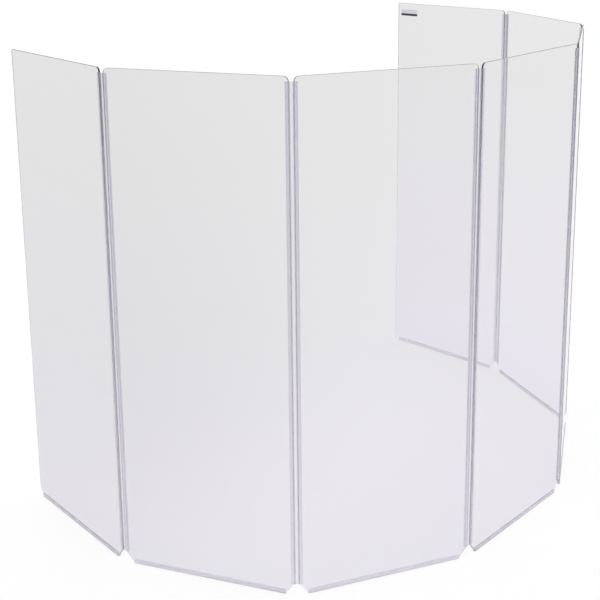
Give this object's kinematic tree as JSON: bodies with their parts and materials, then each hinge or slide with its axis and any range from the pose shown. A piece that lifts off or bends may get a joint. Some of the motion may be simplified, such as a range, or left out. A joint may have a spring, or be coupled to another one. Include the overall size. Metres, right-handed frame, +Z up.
{
  "type": "drum shield",
  "caption": "Free-standing drum shield of clear acrylic panels joined edge to edge by full-length flexible hinges, standing in an arc round the kit and folding into a flat stack.",
  "frame": {"origin": "on the floor, under the middle of the standing screen's bounding box", "axes": "+Z up; the front panel is square to X and faces -Y, the audience side; the drummer sits on the +Y side; +X is to the right seen from the front"},
  "size_m": [2.3274, 1.4954, 1.6783],
  "materials": {
    "clear_acrylic": "clear, polished",
    "stiff_vinyl": "clear with a faint blue-grey cast, semi-gloss",
    "soft_vinyl": "clear, slightly cloudy",
    "guard_vinyl": "clear, slightly cloudy",
    "label_film": "satin"
  },
  "bodies": {
    "panel_4": {"panel_4": "clear_acrylic", "panel_4_floor_guard": "guard_vinyl", "hinge_3_grip_right": "stiff_vinyl", "hinge_4_grip_left": "stiff_vinyl", "hinge_3_web": "soft_vinyl", "hinge_4_web": "soft_vinyl"},
    "panel_3": {"panel_3": "clear_acrylic", "panel_3_floor_guard": "guard_vinyl", "hinge_2_grip_right": "stiff_vinyl", "hinge_3_grip_left": "stiff_vinyl", "hinge_2_web": "soft_vinyl"},
    "panel_2": {"panel_2": "clear_acrylic", "panel_2_floor_guard": "guard_vinyl", "hinge_1_grip_right": "stiff_vinyl", "hinge_2_grip_left": "stiff_vinyl", "hinge_1_web": "soft_vinyl"},
    "panel_1": {"panel_1": "clear_acrylic", "panel_1_floor_guard": "guard_vinyl", "hinge_1_grip_left": "stiff_vinyl"},
    "panel_5": {"panel_5": "clear_acrylic", "panel_5_floor_guard": "guard_vinyl", "hinge_4_grip_right": "stiff_vinyl", "hinge_5_grip_left": "stiff_vinyl", "hinge_5_web": "soft_vinyl"},
    "panel_6": {"panel_6": "clear_acrylic", "panel_6_floor_guard": "guard_vinyl", "hinge_5_grip_right": "stiff_vinyl", "hinge_6_grip_left": "stiff_vinyl", "hinge_6_web": "soft_vinyl"},
    "panel_7": {"panel_7": "clear_acrylic", "panel_7_floor_guard": "guard_vinyl", "hinge_6_grip_right": "stiff_vinyl", "blank_label": "label_film"}
  },
  "joints": [
    {"name": "hinge_3_bend", "type": "hinge", "parent": "panel_4", "child": "panel_3", "pos_m": [-0.40267, -0.73792, 0.8511], "axis": [0, 0, -1], "range_deg": [-28, 152], "deforming": ["hinge_3_web"]},
    {"name": "hinge_2_bend", "type": "hinge", "parent": "panel_3", "child": "panel_2", "pos_m": [-0.96108, -0.45279, 0.8511], "axis": [0, 0, 1], "range_deg": [0, 223], "deforming": ["hinge_2_web"]},
    {"name": "hinge_1_bend", "type": "hinge", "parent": "panel_2", "child": "panel_1", "pos_m": [-1.15531, 0.14324, 0.8511], "axis": [0, 0, -1], "range_deg": [-31, 149], "deforming": ["hinge_1_web"]},
    {"name": "hinge_4_bend", "type": "hinge", "parent": "panel_4", "child": "panel_5", "pos_m": [0.22313, -0.74832, 0.8511], "axis": [0, 0, -1], "range_deg": [-38, 206.1], "deforming": ["hinge_4_web"]},
    {"name": "hinge_5_bend", "type": "hinge", "parent": "panel_5", "child": "panel_6", "pos_m": [0.78087, -0.46472, 0.8511], "axis": [0, 0, 1], "range_deg": [-33, 147], "deforming": ["hinge_5_web"]},
    {"name": "hinge_6_bend", "type": "hinge", "parent": "panel_6", "child": "panel_7", "pos_m": [1.112, 0.06618, 0.8511], "axis": [0, 0, -1], "range_deg": [-46.3, 206.1], "deforming": ["hinge_6_web"]}
  ],
  "couplings": [
    {"joint": "hinge_4_bend", "follows": "hinge_3_bend", "ratio": 1.3553},
    {"joint": "hinge_6_bend", "follows": "hinge_5_bend", "ratio": 1.4014}
  ]
}
